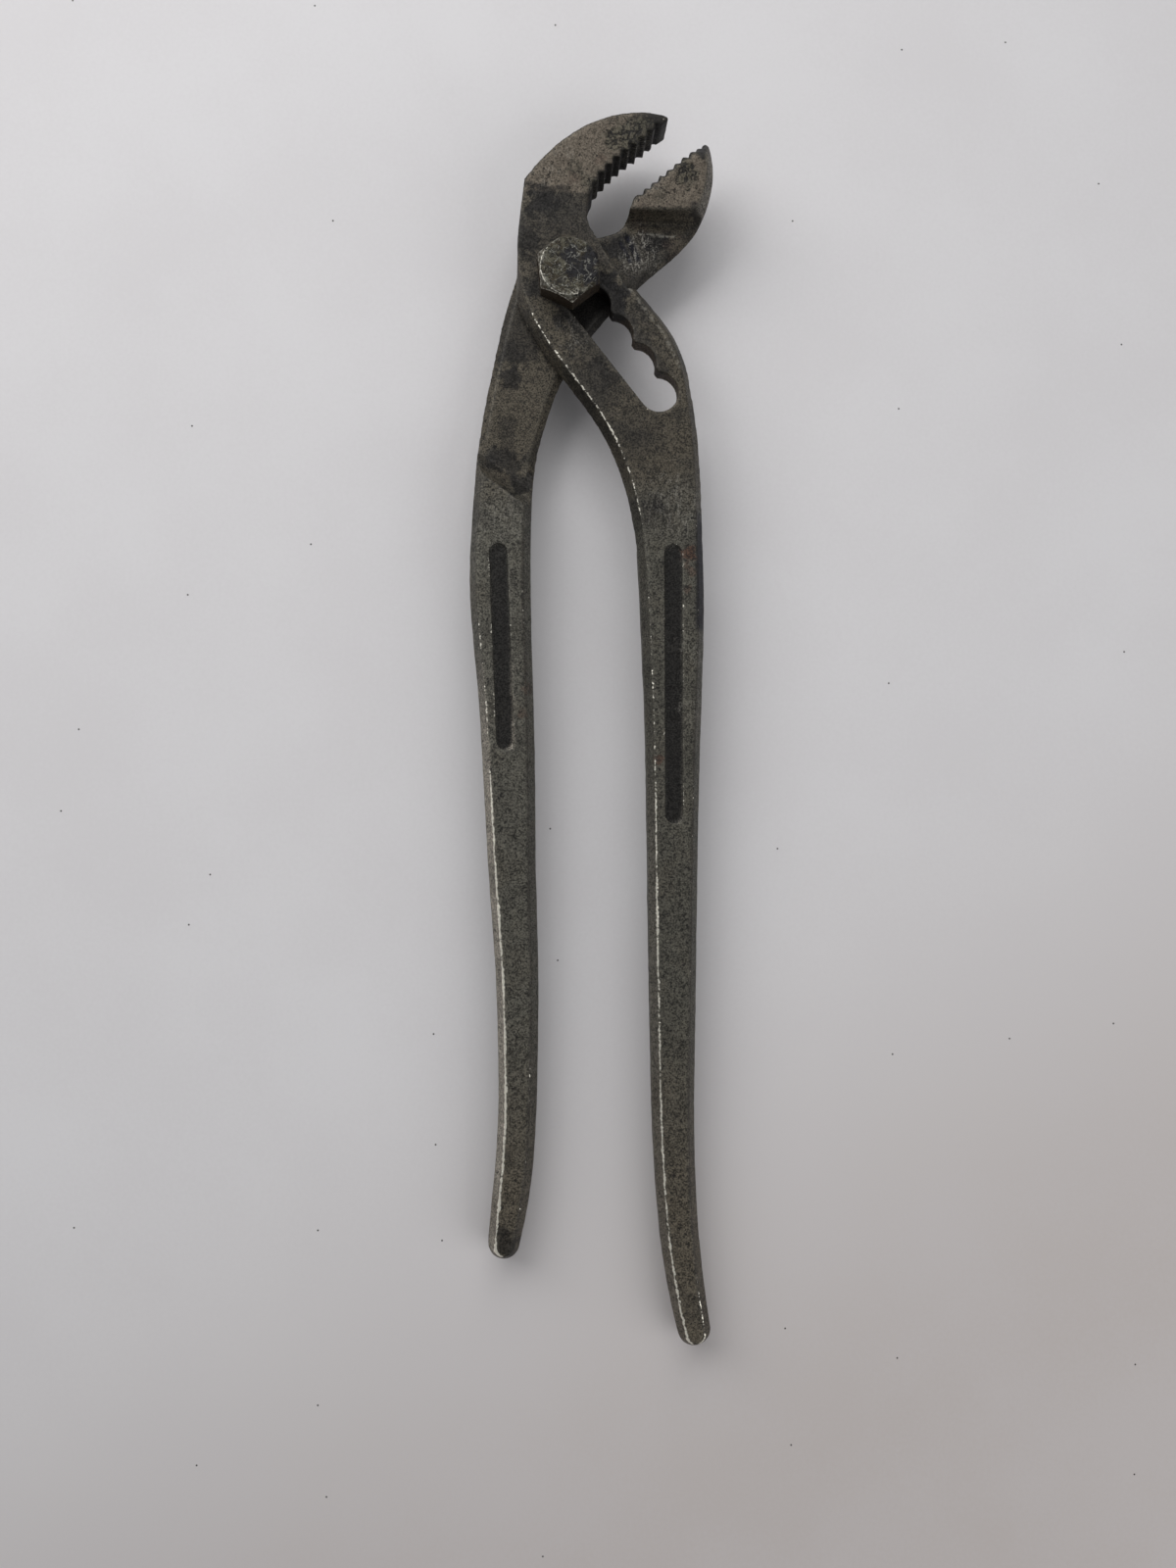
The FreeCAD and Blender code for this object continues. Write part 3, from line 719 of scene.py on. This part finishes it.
# Marks on the head: its face, its rim, and the lower left side, where a painted highlight brightens the bare
# corners and the rim over the wear.
paint_wear(bolt, HARDWARE_ROUNDS, WEAR_BULGE)
across = np.hypot(points[:, 0], points[:, 1]) / MM
lower_left = soft_step(-points[:, 0] - 0.8 * points[:, 1], -1.5 * MM, 3.5 * MM)
on_head = points[:, 2] > 13.4 * MM
on_face = (normals[:, 2] > 0.5) * on_head
paint(bolt, "wear_and_highlight", -0.1 + 0.9 * lower_left * on_head)
paint(bolt, "face", on_face * soft_step(across, 6.8, 6.2))
paint(bolt, "rim", soft_step(across, 5.0, 5.9) * on_face * (0.3 + 0.7 * lower_left), 1)

nut = hardware_piece("pivot_nut", "hex_nut", -1)
paint_wear(nut, HARDWARE_ROUNDS, WEAR_BULGE)
paint(nut, "wear_and_highlight", np.full(len(nut.data.vertices), 0.1))

HEAD_SIDE = srgb(56, 47, 36)
FACE_BROWN, FACE_GREY = srgb(52, 46, 34), srgb(76, 73, 61)
RIM_GREY = srgb(132, 130, 121)
HEAD_BLACK = srgb(27, 26, 29)
CUT_BROWN = srgb(30, 28, 26)
SCRATCH_GREY = srgb(150, 149, 140)
HEAD_BARE_AND_HIGHLIGHT = srgb(200, 196, 184)


def headed_steel(name, dark_spots):
    """Blackened steel, with a dented and scratched face, a rim and bare corners lightened by painted
    highlight.
    """
    material, tree, place = new_material(name)
    tone, flecks, _, grain_height = use(tree, skin_grain, Place=place, Grain=0.3 * MM)[:4]
    blotches = rise(tree, noise(tree, place, 1.3 * MM, 5.0), 0.42, 0.58)
    face = mark(tree, "face")
    worn_face = colour_mix(tree, blotches, FACE_BROWN, FACE_GREY)
    colour = colour_mix(tree, face, HEAD_SIDE, worn_face)
    rim = product(tree, mark(tree, "rim"), rise(tree, noise(tree, place, 0.8 * MM, 4.0), 0.4, 0.6))
    colour = colour_mix(tree, product(tree, rim, 0.65), colour, RIM_GREY)
    colour = colour_mix(tree, stained(tree, place, dark_spots), colour, HEAD_BLACK)
    cuts = use(tree, veins, Place=place, Size=1.7 * MM, Width=0.045)["Mask"]
    colour = colour_mix(tree, product(tree, cuts, face, 0.9), colour, CUT_BROWN)
    light_place = place_math(tree, "ADD", place, (0.013, 0.007, 0.0))
    scratches = use(tree, veins, Place=light_place, Size=2.1 * MM, Width=0.018)["Mask"]
    colour = colour_mix(tree, product(tree, scratches, face, 0.55), colour, SCRATCH_GREY)
    colour = colour_mix(tree, product(tree, mark(tree, "hollow"), 0.9), colour, CUT_BROWN)
    colour = grained(tree, colour, value_mix(tree, tone, 0.6, 1.4), flecks)
    # Bare corners, with painted highlight on the head's lower left.
    bare_and_highlight = use(tree, bare_and_highlight_edges, Place=place, Edge=mark(tree, "worn"), Share=mark(tree, "wear_and_highlight"))["Mask"]
    colour = colour_mix(tree, bare_and_highlight, colour, HEAD_BARE_AND_HIGHLIGHT)
    metallic = value_mix(tree, bare_and_highlight, 0.4, 0.95)
    roughness = value_mix(tree, bare_and_highlight, 0.55, 0.35)
    height = calc(tree, "SUBTRACT", grain_height, product(tree, cuts, 2.0))
    finish_steel(tree, colour, metallic, roughness, height)
    return material


HEAD_DARK = [(0.9, 2.2, 2.6, 1.0), (4.2, 1.4, 3.0, 1.0), (1.5, -1.3, 2.4, 1.0), (4.6, -1.7, 2.4, 1.0),
             (2.8, 0.2, 2.2, 0.9), (-2.0, 0.1, 0.9, 0.7), (-1.8, -3.0, 1.1, 0.6), (-3.4, 3.0, 1.0, 0.5)]
bolt.data.materials.append(headed_steel("bolt_steel", HEAD_DARK))
nut.data.materials.append(headed_steel("nut_steel", [(0.0, 6.0, 3.0, 0.6)]))
for piece, node in ((bolt, "pivot_bolt"), (nut, "pivot_nut")):
    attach(piece, "pivot")
    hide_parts(node)


# --- Table, light and camera -------------------------------------------------------------------------
# The pliers lie on a pale paper sheet, on the bolt's end and the backs of both handles' ends. Three soft
# boxes light them, the strongest from the upper left, and a pale room fills the shadows.

# The paper's plane touches the pliers in the three places where they rest.
bolt_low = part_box("pivot_bolt")[0].z
slotted_end = Vector((28.0 * MM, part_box("slotted_lever")[0].y, 0.0))
plain_end = Vector((-14.0 * MM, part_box("plain_lever")[0].y, 0.0))
under_bolt = Vector((0.0, -3.0 * MM, bolt_low))
up = (slotted_end - under_bolt).cross(plain_end - under_bolt)
if up.z < 0:
    up = -up
turn = up.to_track_quat("Z", "Y").to_euler()
bpy.ops.object.select_all(action="DESELECT")
bpy.ops.mesh.primitive_plane_add(size=4.0, location=under_bolt, rotation=turn)
bpy.ops.object.transform_apply()
floor = bpy.context.object
floor.name = "paper_sheet"

PAPER, PAPER_SHADE = srgb(213, 211, 212), srgb(190, 183, 180)
PAPER_CLOUD = srgb(200, 196, 197)
DUST = srgb(60, 58, 56)


def pale_paper():
    """White paper, darker toward the handles' ends and the right by painted shade, with clouds and a few
    specks of dust.
    """
    material, tree, place = new_material("pale_paper")
    across, along, _ = add(tree, "ShaderNodeSeparateXYZ", {0: place}).outputs
    slant = calc(tree, "SUBTRACT", product(tree, across, 0.5), along)
    # Painted shade: the paper darkens toward the handles' ends and the right.
    colour = colour_mix(tree, rise(tree, slant, 0.13, 0.30), PAPER, PAPER_SHADE)
    fibres = product(tree, noise(tree, place, 0.8 * MM, 3.0), 0.5)
    clouds = calc(tree, "ADD", noise(tree, place, 40 * MM, 4.0), fibres)
    colour = colour_mix(tree, product(tree, rise(tree, clouds, 0.5, 1.0), 0.3), colour, PAPER_CLOUD)
    cells = add(tree, "ShaderNodeTexVoronoi", {"Vector": place, "Scale": 1 / (26 * MM)},
                voronoi_dimensions="2D").outputs
    chance = add(tree, "ShaderNodeSeparateColor", {0: cells["Color"]}).outputs[0]
    dust = product(tree, rise(tree, cells["Distance"], 0.011, 0.004), rise(tree, chance, 0.70, 0.72))
    colour = colour_mix(tree, dust, colour, DUST)
    shader = tree.nodes["Principled BSDF"]
    shader.inputs["Roughness"].default_value = 0.9
    shader.inputs["Specular IOR Level"].default_value = 0.1
    tree.links.new(colour, shader.inputs["Base Color"])
    return material


floor.data.materials.append(pale_paper())

# Each soft box: its name, place and power in watts. They are square and aim at the pliers.
SOFTBOXES = [("left_light", (-0.42, 0.30, 0.45), 2.8), ("top_light", (0.0, 0.50, 0.45), 2.0),
             ("right_light", (0.45, -0.35, 0.40), 1.2)]
SOFTBOX_SIZE = 0.5
AIM = Vector((0, -0.1, 0))
for name, place, power in SOFTBOXES:
    softbox = bpy.data.lights.new(name, "AREA")
    softbox.shape = "SQUARE"
    softbox.size = SOFTBOX_SIZE
    softbox.energy = power
    lamp = bpy.data.objects.new(name, softbox)
    lamp.location = place
    lamp.rotation_euler = (AIM - lamp.location).to_track_quat("-Z", "Y").to_euler()
    bpy.context.scene.collection.objects.link(lamp)

room = bpy.data.worlds.new("pale_room")
room.use_nodes = True
room.node_tree.nodes["Background"].inputs["Color"].default_value = (0.95, 0.97, 1.0, 1.0)
room.node_tree.nodes["Background"].inputs["Strength"].default_value = 0.26
bpy.context.scene.world = room

# The camera is above the handles and looks almost straight down.
CAMERA_PLACE = Vector((-7.3, -108.8, 282.3)) * MM
CAMERA_TILT = math.radians(2.42)
camera = bpy.data.cameras.new("camera")
camera.lens = 29.25
camera.sensor_width = 36.0
camera.clip_start = 0.01
camera_object = bpy.data.objects.new("camera", camera)
camera_object.location = CAMERA_PLACE
camera_object.rotation_euler = (0.0, -CAMERA_TILT, 0.0)
bpy.context.scene.collection.objects.link(camera_object)
bpy.context.scene.camera = camera_object
bpy.context.scene.view_settings.view_transform = "Standard"
